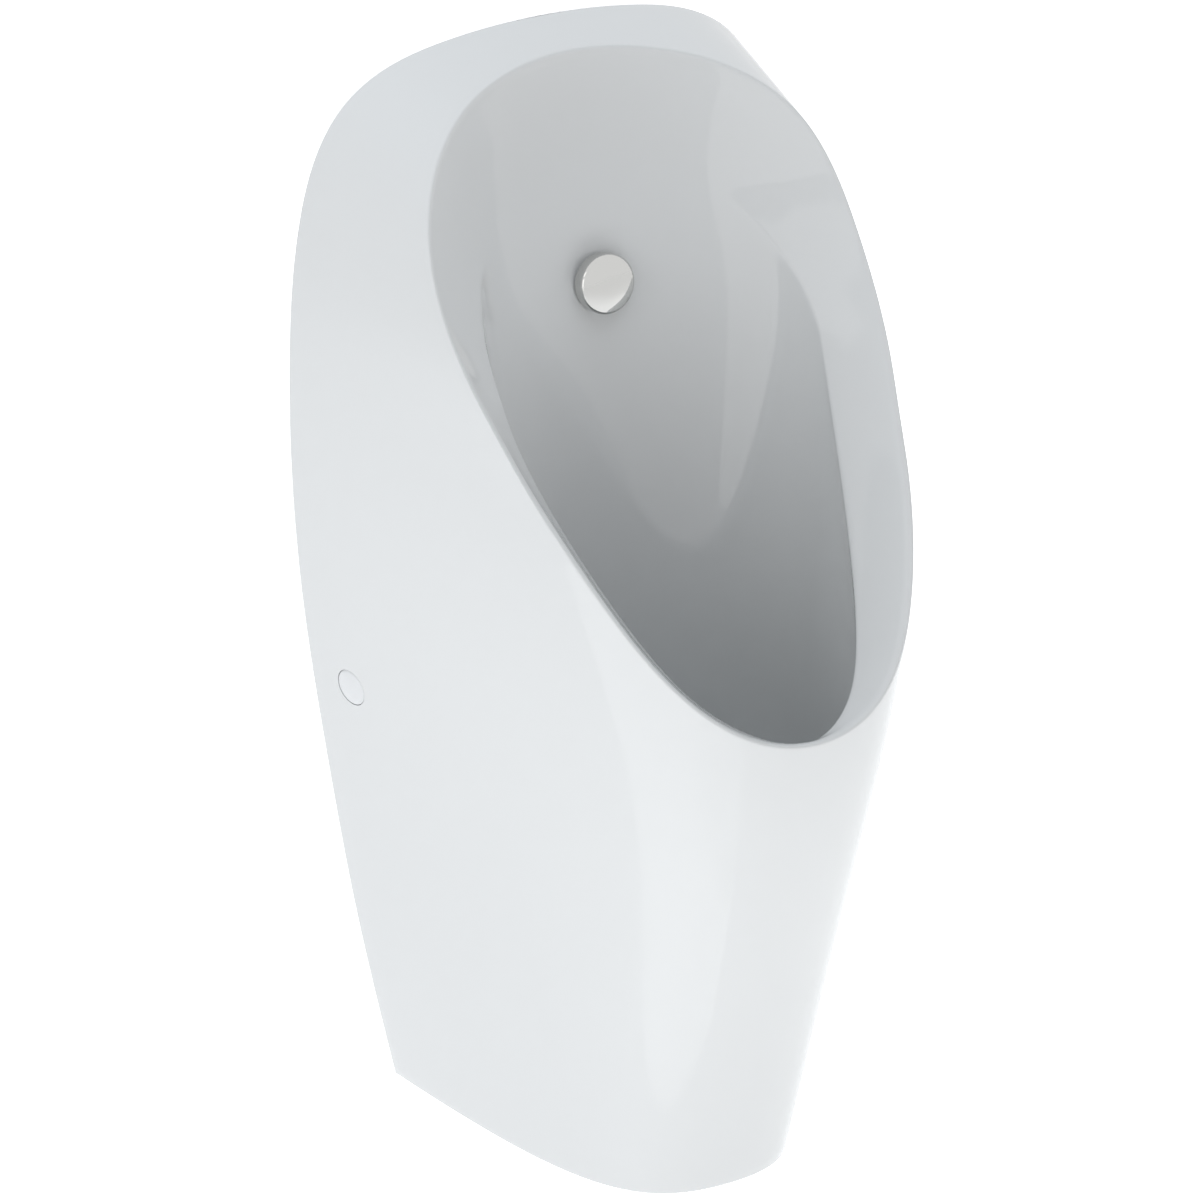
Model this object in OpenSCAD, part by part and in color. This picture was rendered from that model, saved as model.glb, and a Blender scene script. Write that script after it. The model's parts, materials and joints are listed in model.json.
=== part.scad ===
// Wall-hung urinal with its spray head, trap and concealed fixings.
// The wall is the plane y = 0, the front faces -y, and z = 0 is the ceramic's lower edge.

/* [Ceramic body] */
// Height of the ceramic
body_h = 650; // [635:1:670]
// Width where the body is broadest
body_w = 327; // [315:1:345]
// Depth at the height where the body is broadest
body_d = 320; // [310:1:335]
// Height at which the body is broadest
broad_z = 443; // [430:1:455]
// Thickness of the fired wall
wall = 11; // [9:0.5:12.5]

/* [Opening] */
// Height of the opening's waist, between its egg-shaped halves
opening_z = 490; // [480:1:500]
// Width of the opening at that height
opening_w = 257; // [250:1:264]
// Distance from the top of the ceramic down to the opening
opening_drop = 10.5; // [9:0.5:14]
// Height of the lip at the front
lip_z = 320.5; // [312:0.5:328]
// Thickness of the rolled rim
rim_t = 9; // [7:0.5:10]
// Height of the inner crease at the top
crease_top_z = 581; // [574:1:586]
// Roundness of the inner crease
crease_round = 10; // [8:0.5:13]
// Hollow of the band between the rim and the crease
band_dip = 4; // [2:0.5:6]

/* [Bowl] */
// Height of the bowl's floor above the lower edge
floor_z = 150; // [145:1:156]
// Height over which the floor rounds up into the sides
floor_round = 120; // [110:1:130]
// Greatest width inside the bowl
bowl_w = 208; // [200:1:214]
// Distance of the bowl's back from the wall
bowl_back = 71; // [66:1:76]
// Height above which the bowl's back is out of use, below the top
bowl_top_drop = 50; // [46:1:54]
// Clearance in the skirt in front of the trap cup
cup_front_gap = 4.5; // [3:0.1:8]

/* [Hanger bridge] */
// Lower edge of the bridge, below the ceramic's top
bridge_drop = 68; // [62:1:74]
// Thickness of the bridge
bridge_t = 12; // [10:0.5:13]
// Set-back of the bridge from the wall
bridge_gap = 1; // [0.5:0.1:2]
// Distance between the two hanger studs
hanger_pitch = 140; // [120:1:160]
// Depth of the studs below the ceramic's top
hanger_drop = 46; // [42:1:50]
// Diameter of the hanger holes
hanger_hole_d = 18; // [17:0.5:20]

/* [Wall fixings] */
// Diameter of the hanger studs
stud_d = 8; // [6:1:8]
// Reach of the studs in front of the wall
stud_out = 16; // [15:0.5:18]
// Depth of the studs in the wall
stud_in = 55; // [45:1:70]
// Diameter of the studs' wall plugs
plug_d = 12; // [11:0.5:14]
// Length of the studs' wall plugs beyond the studs
plug_over = 5; // [3:1:10]
// Diameter of the brackets' screws
bracket_screw_d = 6; // [5:0.5:6]
// Depth of the brackets' screws in the wall
bracket_screw_in = 45; // [40:1:60]
// Diameter of the brackets' wall plugs
bracket_plug_d = 10; // [8:0.5:12]

/* [Spray head] */
// Depth of the spray head's seat below the top
spray_drop = 138; // [132:1:144]
// Upward tilt of the spray head
spray_tilt = 8.5; // [6:0.5:11]
// Diameter of the chrome cap
spray_cap_d = 35; // [33:0.5:38]
// Height of the cap above its seat
spray_cap_h = 10; // [9.5:0.5:12]
// Thickness of the cap's metal
spray_cap_t = 1.5; // [1.2:0.1:2]
// Bevel round the cap's face
spray_cap_bevel = 1.2; // [0.8:0.1:1.5]
// Diameter of the supply thread
thread_d = 21; // [20:0.5:22]
// Diameter of the hole in the ceramic
spray_hole_d = 25; // [24:0.5:27]
// Thickness of the seat left in the ceramic
spray_seat_t = 9.5; // [8:0.5:10]
// Width of the lock nut across its flats
lock_nut_w = 32; // [30:0.5:34]
// Thickness of the lock nut
lock_nut_t = 7; // [6:0.5:9]
// Outside diameter of the supply pipe
inlet_d = 15; // [12:0.5:16]
// Depth of the supply pipe in the wall
inlet_in = 40; // [30:1:60]

/* [Outlet and trap] */
// Diameter of the outlet fitting's flange
outlet_flange_d = 64; // [61:1:67]
// Thickness of the outlet fitting's flange
outlet_flange_t = 3; // [2.5:0.5:4]
// Diameter of the outlet fitting's tube
outlet_tube_d = 56; // [54:1:57]
// Width of the clamp nut
clamp_nut_d = 76; // [72:1:80]
// Thickness of the clamp nut
clamp_nut_t = 9; // [8:0.5:10]
// Diameter of the trap insert's tube
insert_d = 42; // [38:1:44]
// Depth of the water seal
seal_depth = 50; // [40:1:50]
// Diameter of the trap cup
cup_d = 78; // [76:1:82]
// Height of the trap cup's underside
cup_z = 10; // [8:1:14]
// Outside diameter of the drain pipe
drain_d = 50; // [48:1:50]
// Height of the drain pipe's axis
drain_z = 97; // [94:1:98]
// Depth of the drain pipe in the wall
drain_in = 60; // [50:1:80]
// Thickness of the plastic walls
plastic_t = 2.5; // [2:0.1:3]
// Diameter of the strainer
strainer_d = 58; // [56:1:60]

/* [Side fixings] */
// Height of the side screws
side_z = 277; // [272:1:282]
// Distance of the side screws from the wall, along the skin
side_share = 0.054; // [0.048:0.001:0.06]
// Diameter of the screw covers
cover_d = 22; // [20:0.5:24]
// Thickness of the screw covers
cover_t = 2.2; // [1.8:0.1:2.6]
// Depth of the recess for the screw head
pocket_depth = 6.5; // [6:0.5:7]
// Diameter of the side screws
side_screw_d = 6; // [5:0.5:6]
// Distance from the ceramic's outside to the bracket
bracket_depth = 26; // [24:0.5:30]
// Thickness of the bracket's steel
bracket_t = 3; // [2.5:0.1:4]
// Width of the bracket
bracket_w = 36; // [30:1:42]

/* [Smoothness] */
// Facets around half of the ceramic
half_steps = 48; // [32:4:56]
// Rows of facets on the outside of the ceramic
skin_rows = 10; // [8:1:14]

/* [Hidden] */

// Clearances and overruns shared by all pieces
fit_gap = 0.3;
running_gap = 0.05;
overrun = 4;
arc = $preview ? 48 : 96;

// Half widths at even steps from the lower edge up to the broadest height
half_width_shares = [0.616, 0.77, 0.878, 0.979, 1.0105];
// Fullness of the arch over an ellipse, at even turns from the side to the top
arch_shares = [1.015, 1.087, 1.19, 1.04];
// Depths from the lower edge to the broadest height, then on to the top
depth_shares = [0.677, 0.81, 0.968, 1.016];
depth_top_shares = [1.13, 1.14];
// How far forward the sides run before they turn in
side_reach_shares = [0.843, 0.757, 0.695, 0.64];
side_reach_top_shares = [0.63, 0.476];
// How much the sides lean in on the way
side_lean_shares = [0.109, 0.215, 0.256, 0.164];
side_lean_top_shares = [0.173, 0.35];
// How broad the nose stays
nose_shares = [0.582, 0.554, 0.594, 0.64];
nose_top_shares = [0.76, 0.436];
// Fullness of the opening over two half ellipses, from the lip round to the top
opening_shares = [0.992, 0.933, 0.915, 0.994, 1.108, 1.214, 1.043];
// Heights of the inner crease from the lip round to the top
crease_shares = [-0.029, 0.009, 0.097, 0.375, 0.65, 0.79, 0.925, 0.982, 1.007];
// Bowl at even steps of height: half width, back and broadest line
bowl_width_shares = [0.72, 0.757, 0.81, 0.906, 0.99, 1.019, 0.933];
bowl_back_shares = [1.38, 1.54, 1.42, 1.32, 1.12, 1.055, 0.36];
bowl_middle_shares = [0.516, 0.526, 0.529, 0.509, 0.473, 0.41, 0.287];
// Slope and curve of the bowl's front edge above the lip
rake_share = 0.35;
rake_curve_share = 1.75;
// Squareness of the turn from the bowl's sides to its floor
floor_power = 2.6;
// Place on the outline where the lower edge meets the wall
corner_share = 0.2;
// How far the hollow behind the bowl reaches towards the rim, from the lip round to the top
hollow_shares = [0.5, 0.72, 0.84, 0.87, 0.82, 0.66, 0.3];
hollow_drop = 24;
hollow_front_drop = 112;
hollow_front_power = 4;
under_power = 1.7;
// Spacing of the rows on the outside, and how far the lines shift towards the front
skin_power = 1.3;
front_shift = 18;
// Guide rows beside the rim and across the band, and the band's width at full hollow
rim_step_share = 0.7;
band_share_limits = [0.25, 0.35];
band_full_width = 40;
// How much softer the crease is at the back
soften_share = 1.6;
// Guide rows down the turn from the bowl's sides to its floor
floor_shares = [0.2, 0.4, 0.57, 0.7, 0.8, 0.88, 0.94, 0.98];

// Control value i of a table, mirrored past its ends or, with open set, run on straight at its start
function control(c, i, open) =
    i < 0 ? (open ? 2 * c[0] - c[1] : c[1]) : (i < len(c) ? c[i] : c[2 * len(c) - 2 - i]);

// Smooth curve through a table of control values, for t from 0 to 1
function spline(c, t, open = false) =
    let (x = t * (len(c) - 1), k = max(0, min(floor(x), len(c) - 2)), f = x - k)
    (control(c, k - 1, open) * pow(1 - f, 3)
        + control(c, k, open) * (3 * pow(f, 3) - 6 * f * f + 4)
        + control(c, k + 1, open) * (3 * f * (1 + f - f * f) + 1)
        + control(c, k + 2, open) * pow(f, 3)) / 6;

// Table whose curve starts and ends at exactly 1
function unit_ends(c) = concat([(6 - 2 * c[0]) / 4], c, [(6 - 2 * c[len(c) - 1]) / 4]);

// Value at station s: 0 to 1 runs up to the broadest height, 1 to 2 turns round to the top
function along(low, top, s) =
    s <= 1 ? spline(low, s, true)
        : let (joint = spline(low, 1, true)) spline(concat([(6 * joint - 2 * top[0]) / 4], top), s - 1);

function between(p, q, f) = p + (q - p) * f;

arch_h = body_h - broad_z;
spray_z = body_h - spray_drop;

// Distance of the outline at the wall from the centre line, or from the middle of the broadest line
function outline(s) =
    s <= 1 ? body_w / 2 * spline(half_width_shares, s, true)
        : let (turn = 90 * (s - 1))
            spline(unit_ends(arch_shares), s - 1) / norm([cos(turn) / (body_w / 2), sin(turn) / arch_h]);

function depth(s) = body_d * along(depth_shares, depth_top_shares, s);

// Distance of the outlet from the wall
outlet_y = depth(cup_z / broad_z) - wall - cup_d / 2 - cup_front_gap;

// One rib of the outside, from the wall (v = 0) to the middle of the front (v = 1)
function rib(s, v, inset = 0) =
    let (
        b = outline(s) - inset,
        d = depth(s) - inset,
        reach = along(side_reach_shares, side_reach_top_shares, s) * d,
        lean = along(side_lean_shares, side_lean_top_shares, s) * reach,
        nose = along(nose_shares, nose_top_shares, s) * b,
        u = 1 - v
    )
    [
        b * pow(u, 3) + 3 * (b - lean) * v * u * u + 3 * nose * v * v * u,
        3 * reach * v * u * u + 3 * d * v * v * u + d * pow(v, 3)
    ];

function place(s, q) =
    s <= 1 ? [q.x, -q.y, s * broad_z]
        : [q.x * cos(90 * (s - 1)), -q.y, broad_z + q.x * sin(90 * (s - 1))];

function skin(s, v, inset = 0) = place(s, rib(s, v, inset));

// Opening seen from the front; angle 0 is the lip and 180 the top
function opening(angle) =
    let (
        tall = angle < 90 ? opening_z - lip_z : body_h - opening_drop - opening_z,
        reach = spline(unit_ends(opening_shares), angle / 180)
            / norm([sin(angle) / (opening_w / 2), cos(angle) / tall])
    )
    [reach * sin(angle), opening_z - reach * cos(angle)];

// Place v on rib s where the rib has a given half width, found by halving
function find_v(s, half, low = 0, high = 1, n = 18) =
    n == 0 ? (low + high) / 2
        : let (mid = (low + high) / 2)
            rib(s, mid).x > half ? find_v(s, half, mid, high, n - 1) : find_v(s, half, low, mid, n - 1);

function rim_place(angle) =
    let (
        p = opening(angle),
        upper = p.y > broad_z,
        s = upper ? 1 + atan2(p.y - broad_z, p.x) / 90 : p.y / broad_z,
        half = upper ? norm([p.x, p.y - broad_z]) : p.x
    )
    [s, angle == 0 ? 1 : find_v(s, half)];

// Start of each line of facets, first along the lower edge and then up the wall
function edge_place(angle) =
    let (turn = angle / 180)
    turn < corner_share ? [0, 1 - turn / corner_share] : [2 * (turn - corner_share) / (1 - corner_share), 0];

lines = [0 : half_steps];
angles = [for (i = lines) 180 * i / half_steps];
edges = [for (a = angles) edge_place(a)];
rims = [for (a = angles) rim_place(a)];
// Turn about the bowl's middle that belongs to each line, -90 at the front and 90 at the back
turns = [for (a = angles) a - 90 + front_shift * sin(2 * a) * pow(cos(a / 2), 2)];

// Row of points on the outside, or inset from it, at shares f of the way from the edge to the rim
function skin_row(f, inset = 0) =
    [for (i = lines) let (p = between(edges[i], rims[i], f[i])) skin(p.x, p.y, inset)];
function same(f) = [for (i = lines) f];

rim = skin_row(same(1));
rim_inside = skin_row(same(1), rim_t);
spans = [for (i = lines) norm(rim[i] - skin(edges[i].x, edges[i].y))];
rim_step = rim_step_share * rim_t;
function before_rim(k) = [for (i = lines) 1 - k * rim_step / spans[i]];

// Bowl as level ovals, with the floor rounding up into the sides
bowl_side_z = floor_z + floor_round;
function bowl_step(z) = max(0, min(1, (z - floor_z) / (body_h - bowl_top_drop - floor_z)));
function bowl_half(z) = bowl_w / 2 * spline(bowl_width_shares, bowl_step(z), true);
function bowl_back_y(z) = bowl_back * spline(bowl_back_shares, bowl_step(z), true);
function bowl_middle_y(z) =
    outlet_y + body_d * (spline(bowl_middle_shares, bowl_step(z), true) - bowl_middle_shares[0]);
function bowl_front_y(z) =
    let (rise = max(0, z - lip_z + rim_t))
    depth(min(1, z / broad_z)) - wall - rise * (rake_share + rake_curve_share * rise / body_h);
function bowl_fill(z, thick) =
    let (drop = (bowl_side_z - z) / (floor_round + thick))
    drop <= 0 ? 1 : pow(max(0, 1 - pow(min(1, drop), floor_power)), 1 / floor_power);
function bowl(z, turn, thick = 0) =
    let (
        k = bowl_fill(z, thick),
        m = bowl_middle_y(z),
        reach = turn > 0 ? m - bowl_back_y(z) : bowl_front_y(z) - m
    )
    [(bowl_half(z) + thick) * k * cos(turn), -m + (reach + thick) * k * sin(turn), z];
function crease_z(turn) = lip_z + (crease_top_z - lip_z) * spline(crease_shares, (turn + 90) / 180, true);

crease = [for (t = turns) bowl(crease_z(t), t)];
band_len = [for (i = lines) norm(crease[i] - rim_inside[i])];
// The crease is sharpest at the sides and fades out towards the top
soften = [for (t = turns) crease_round * (1 + soften_share * pow(max(0, sin(t)), 2))];

// Row on the band between the rim and the crease
function band_row(f) =
    [for (i = lines)
        let (
            side = sin(angles[i]),
            dip = band_dip * 4 * f[i] * (1 - f[i]) * min(1, band_len[i] / band_full_width)
        )
        between(rim_inside[i], crease[i], f[i]) + dip * [side * side, 1 - side * side, 0]];

wall_rows = 6;
function bowl_row(k) =
    [for (i = lines) let (top = crease_z(turns[i]) - soften[i])
        bowl(between(top, bowl_side_z, k / wall_rows), turns[i])];

// Guide rows from the outside over the rim, down the bowl and to its floor
guides = concat(
    [
        skin_row(before_rim(3)), skin_row(before_rim(2)), skin_row(before_rim(1)), rim, rim_inside,
        band_row([for (w = band_len) min(band_share_limits[0], rim_step / w)]),
        band_row(same(1 / 2)),
        band_row([for (i = lines) 1 - min(band_share_limits[1], soften[i] / band_len[i])]),
        crease
    ],
    [for (k = [0 : wall_rows]) bowl_row(k)],
    [for (f = floor_shares) [for (t = turns) bowl(bowl_side_z - f * floor_round, t)]]
);
function on_guides(k) =
    let (a = floor(k), b = k == a)
    [for (i = lines)
        b ? (guides[a - 1][i] + 4 * guides[a][i] + guides[a + 1][i]) / 6
            : (guides[a - 1][i] + 23 * guides[a][i] + 23 * guides[a + 1][i] + guides[a + 2][i]) / 48];
guide_steps = concat([1, 2, 2.5, 3, 3.5, 4, 4.5, 5, 6, 7, 7.5, 8, 8.5], [for (k = [9 : len(guides) - 2]) k]);

// Hidden side of the bowl, up to the fold where it meets the inside of the skirt
under_rows = 7;
fold_rises = [for (i = lines)
    let (
        front = pow((1 - sin(turns[i])) / 2, hollow_front_power),
        z = crease_z(turns[i]) - hollow_drop - (hollow_front_drop - hollow_drop) * front
    )
    z < bowl_side_z ? 1 - (bowl_side_z - z) / (floor_round + wall) : 1 + (z - bowl_side_z) / floor_round];
function under_row(k) =
    [for (i = lines)
        let (
            rise = fold_rises[i] * pow(k / under_rows, under_power),
            z = bowl_side_z + (rise < 1 ? floor_round + wall : floor_round) * (rise - 1)
        )
        bowl(z, turns[i], wall)];
hollow = [for (a = angles) spline(hollow_shares, a / 180)];
inner_rows = 4;

shown_rows = concat(
    [for (k = [0 : skin_rows])
        skin_row([for (i = lines) before_rim(3)[i] * (1 - pow(1 - k / skin_rows, skin_power))])],
    [for (k = guide_steps) on_guides(k)]
);
hidden_rows = concat(
    [for (k = [1 : under_rows]) under_row(k)],
    [for (k = [inner_rows : -1 : 0]) skin_row(hollow * k / inner_rows, wall)]
);

// Row of one half, closed into a ring by its mirror image
function full_ring(row) =
    concat(row, [for (i = [half_steps - 1 : -1 : 1]) [-row[i].x, row[i].y, row[i].z]]);

// Closed solid from rings of points that run outside, over the rim and to the floor, then back below it
module rings(shown, hidden, floor_point, under_point) {
    n = 2 * half_steps;
    rows = concat(shown, hidden);
    last = len(rows) - 1;
    turn_row = len(shown) - 1;
    floor_index = len(rows) * n;
    points = concat([for (r = rows) each full_ring(r)], [floor_point, under_point]);
    faces = [
        for (j = [0 : last], i = [0 : n - 1])
            let (
                k = (i + 1) % n,
                a = j * n + i,
                b = j * n + k,
                c = (j < last ? j + 1 : 0) * n + i,
                d = (j < last ? j + 1 : 0) * n + k
            )
            each (j == turn_row ? [[b, a, floor_index], [floor_index + 1, c, d]]
                : i < half_steps ? [[b, a, d], [a, c, d]] : [[b, a, c], [b, c, d]])
    ];
    polyhedron(points, faces);
}

module spin_profile(points) {
    rotate_extrude($fn = arc) polygon(points);
}

// Ring about the z axis, from height low to height high
module ring(outer_d, inner_d, low, high) {
    spin_profile([[inner_d / 2, low], [outer_d / 2, low], [outer_d / 2, high], [inner_d / 2, high]]);
}

// Six-sided nut about the z axis
module hex_nut(across, bore_d, low, high) {
    difference() {
        translate([0, 0, low]) cylinder(h = high - low, d = across / cos(30), $fn = 6);
        translate([0, 0, low - overrun]) cylinder(h = high - low + 2 * overrun, d = bore_d, $fn = arc);
    }
}

// Places of the fittings: local z points out of the ceramic into the open
module at_spray() {
    translate([0, -bowl_back_y(spray_z), spray_z]) rotate([90 - spray_tilt, 0, 0]) children();
}

module at_outlet() {
    translate([0, -outlet_y, 0]) children();
}

// The right-hand side's own place; the left-hand one is its mirror image
module on_side(side) {
    mirror([side < 0 ? 1 : 0, 0, 0]) children();
}

side_s = side_z / broad_z;
side_point = skin(side_s, side_share);
side_normal =
    let (
        step = 0.01,
        up = skin(side_s + step, side_share) - skin(side_s - step, side_share),
        out = skin(side_s, side_share + step) - skin(side_s, side_share - step),
        n = cross(up, out)
    )
    n / norm(n);
module at_side(side) {
    on_side(side) translate(side_point)
        rotate([0, acos(side_normal.z), atan2(side_normal.y, side_normal.x)]) children();
}

// Spray head: seals, stem and nut
seat_land_over = 1.5;
spray_front_seal_t = 1.5;
spray_flange_t = 2;
spray_rear_seal_t = 2;
spray_seal_inset = 2;
head_wall = 2;
stem_wall = 3.5;
slot_r = 1;
stem_over = 9;
nut_room = 1;
nut_room_depth = 12;
stem_in = spray_seat_t + spray_rear_seal_t + lock_nut_t + stem_over;
stem_seat = -spray_seat_t - spray_rear_seal_t;

// Supply: washer, union nut, connector, olive and pipe
pipe_t = 1.5;
washer_t = 1.5;
washer_inset = 0.5;
collar_t = 2.5;
union_wall = 3.5;
union_grip = 8;
connector_w = 22;
connector_drop = 9.5;
connector_over = 4;
connector_gap = 1;
socket_depth = 12;
socket_stop = 2;
socket_wall = 2;
olive_t = 4;
compression_len = 12;
inlet_bore_d = inlet_d - 2 * pipe_t;
washer_d = thread_d - 2 * washer_inset;
nut_low = -stem_in - washer_t - collar_t - plastic_t;
connector_corner = connector_drop - nut_low;
corner_y = bowl_back_y(spray_z) - connector_corner * cos(spray_tilt);
inlet_z = spray_z - connector_corner * sin(spray_tilt);

// Sleeves where the pipes pass the wall
sleeve_reach = 6;
sleeve_in = 30;
sleeve_flange_t = 3;
inlet_sleeve_t = 4;
drain_sleeve_t = 5;

// Outlet fitting, clamp nut and strainer
flange_lift = 1.5;
under_lift = 1;
flange_room = 0.5;
tube_room = 1;
clamp_room = 1.5;
clamp_inset = 1;
outlet_seal_t = 3;
tube_below_nut = 24;
seat_rise = 1;
flange_bevel = 1;
grip_r = 4;
grip_out = 1;
strainer_t = 1.6;
strainer_edge = 0.4;
strainer_rise = 1;
strainer_ring_depth = 4.1;
strainer_hole_r = 2.1;
flange_seat_z = floor_z + flange_lift;
flange_top_z = flange_seat_z + outlet_flange_t;
under_seat_z = floor_z - wall + under_lift;
nut_z = under_seat_z - outlet_seal_t - clamp_nut_t;
tube_low_z = nut_z - tube_below_nut;
outlet_bore_d = outlet_tube_d - 2 * plastic_t;

// Trap insert and cup
insert_gap = 0.9;
insert_taper_low = 4;
insert_taper_high = 10;
insert_top_gap = 3;
insert_seal_low = 16;
insert_seal_t = 3;
cup_round = 6;
cup_shoulder = 3;
cup_nut_gap = 1;
cup_seal_t = 4;
weir_z = drain_z - drain_d / 2 + plastic_t;
insert_low_z = weir_z - seal_depth;
insert_wide_r = outlet_bore_d / 2 - insert_gap;
insert_top_z = flange_seat_z - insert_top_gap;
cup_high_z = nut_z - cup_nut_gap;

// Coupling between the trap and the drain pipe
coupling_len = 40;
coupling_gap = 2;
coupling_end = 2;
coupling_slope = 2;
coupling_seal_w = 4;
coupling_seal_t = 2.5;
coupling_step = 3;
coupling_y = outlet_y - cup_d / 2 - coupling_len / 2 - coupling_gap;

// Side screws, bushes, covers and brackets
cover_proud = 0.5;
cover_sink = cover_t - cover_proud;
cover_skirt_t = 1;
cover_foot_gap = 1;
cover_shell_t = 0.9;
cover_edge = 1.1;
cover_bevel = 0.5;
cover_dome = 0.3;
pocket_inset = 1.5;
bush_t = 2.4;
bush_flange_over = 2.1;
bush_flange_t = 1.5;
bracket_tail = 6;
bracket_offset = 4;
stud_over = 1;
plate_x = side_point.x - bracket_depth - bracket_w + bracket_tail;
screw_x = plate_x + bracket_w / 2 - bracket_offset;

// Heads of the screws, as shares of their diameters
bracket_head_shares = [1.9, 0.6, 0.7];
side_head_shares = [1.8, 0.35, 0.7];

module ceramic_bridge() {
    top_z = body_h - bridge_drop;
    steps = 14;
    start = 1 + atan2(top_z - broad_z, outline(1.3)) / 90;
    arch = [
        for (k = [0 : steps]) let (s = between(start, 2, k / steps)) place(s, [outline(s) - wall / 2, 0])
    ];
    profile = concat(
        [for (p = arch) [p.x, p.z]],
        [for (k = [steps - 1 : -1 : 0]) [-arch[k].x, arch[k].z]]
    );
    translate([0, -bridge_gap, 0]) rotate([90, 0, 0]) linear_extrude(bridge_t) polygon(profile);
}

module ceramic_body() {
    color("white") difference() {
        union() {
            rings(shown_rows, hidden_rows, [0, -outlet_y, floor_z], [0, -outlet_y, floor_z - wall]);
            ceramic_bridge();
        }
        at_hangers() translate([0, 0, -overrun])
            cylinder(h = bridge_gap + bridge_t + 2 * overrun, d = hanger_hole_d, $fn = arc);
        at_spray() {
            cylinder(h = 3 * overrun, d = spray_cap_d + 2 * seat_land_over, $fn = arc);
            translate([0, 0, -spray_seat_t - 5 * overrun])
                cylinder(h = spray_seat_t + 6 * overrun, d = spray_hole_d, $fn = arc);
            translate([0, 0, -spray_seat_t - nut_room_depth])
                cylinder(h = nut_room_depth, d = lock_nut_w / cos(30) + 2 * nut_room, $fn = arc);
        }
        at_outlet() {
            translate([0, 0, flange_seat_z])
                cylinder(h = 6 * overrun, d = outlet_flange_d + 2 * flange_room, $fn = arc);
            translate([0, 0, nut_z])
                cylinder(h = under_seat_z - nut_z, d = clamp_nut_d + 2 * clamp_room, $fn = arc);
            translate([0, 0, under_seat_z - overrun])
                cylinder(h = wall + 3 * overrun, d = outlet_tube_d + 2 * tube_room, $fn = arc);
        }
        for (side = [-1, 1]) at_side(side) {
            translate([0, 0, -cover_sink]) cylinder(h = overrun, d = cover_d + 2 * fit_gap, $fn = arc);
            translate([0, 0, -pocket_depth])
                cylinder(h = pocket_depth, d = cover_d - 2 * pocket_inset, $fn = arc);
            translate([0, 0, -wall - 2 * overrun])
                cylinder(h = wall + 2 * overrun, d = side_screw_d + 2 * (bush_t + fit_gap), $fn = arc);
        }
    }
}

// Spray head, from the open side inwards
module spray_cap() {
    low = fit_gap;
    r = spray_cap_d / 2;
    inside_r = r - spray_cap_t;
    inside_z = spray_cap_h - spray_cap_t;
    color("silver") at_spray() spin_profile([
        [inside_r, low], [r, low], [r, spray_cap_h - spray_cap_bevel],
        [r - spray_cap_bevel, spray_cap_h], [0, spray_cap_h], [0, inside_z], [inside_r, inside_z]
    ]);
}

module spray_nozzle() {
    flange_r = spray_cap_d / 2 - spray_cap_t - fit_gap;
    low = spray_front_seal_t;
    flange_z = low + spray_flange_t;
    head_r = thread_d / 2 + head_wall;
    high = spray_cap_h - spray_cap_t - fit_gap;
    bore_r = thread_d / 2 - stem_wall;
    slots = 7;
    slot_turn = 22;
    color("goldenrod") at_spray() difference() {
        spin_profile([
            [0, -stem_in], [thread_d / 2, -stem_in], [thread_d / 2, low], [flange_r, low],
            [flange_r, flange_z], [head_r, flange_z], [head_r, high], [0, high]
        ]);
        translate([0, 0, -stem_in - overrun])
            cylinder(h = stem_in + overrun + high - spray_flange_t, r = bore_r, $fn = arc);
        for (k = [0 : slots - 1]) rotate([0, 0, slot_turn * (k - (slots - 1) / 2) - 90])
            translate([bore_r - slot_r, 0, (flange_z + high) / 2])
                rotate([0, 90, 0]) cylinder(h = head_r - bore_r + overrun, r = slot_r, $fn = 32);
    }
}

module spray_front_gasket() {
    color("dimgray") at_spray()
        ring(spray_cap_d - 2 * spray_seal_inset, thread_d + 2 * fit_gap, 0, spray_front_seal_t);
}

module spray_rear_gasket() {
    color("dimgray") at_spray() ring(lock_nut_w, thread_d + 2 * fit_gap, stem_seat, -spray_seat_t);
}

module spray_lock_nut() {
    color("goldenrod") at_spray()
        hex_nut(lock_nut_w, thread_d + 2 * running_gap, stem_seat - lock_nut_t, stem_seat);
}

// Supply from the wall
module inlet_washer() {
    color("dimgray") at_spray() ring(washer_d, inlet_bore_d, -stem_in - washer_t, -stem_in);
}

module inlet_union_nut() {
    across = thread_d + 2 * union_wall;
    color("silver") at_spray() difference() {
        translate([0, 0, nut_low])
            cylinder(h = plastic_t + collar_t + washer_t + union_grip, d = across / cos(30), $fn = 6);
        translate([0, 0, nut_low + plastic_t])
            cylinder(h = 4 * overrun, d = thread_d + 2 * running_gap, $fn = arc);
        translate([0, 0, nut_low - overrun])
            cylinder(h = 3 * overrun, d = inlet_d + 2 * fit_gap, $fn = arc);
    }
}

// The supply pipe runs level through the wall into a connector that turns up to the tilted stem
module at_inlet() {
    translate([0, -corner_y, inlet_z]) rotate([-90, 0, 0]) children();
}

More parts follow.
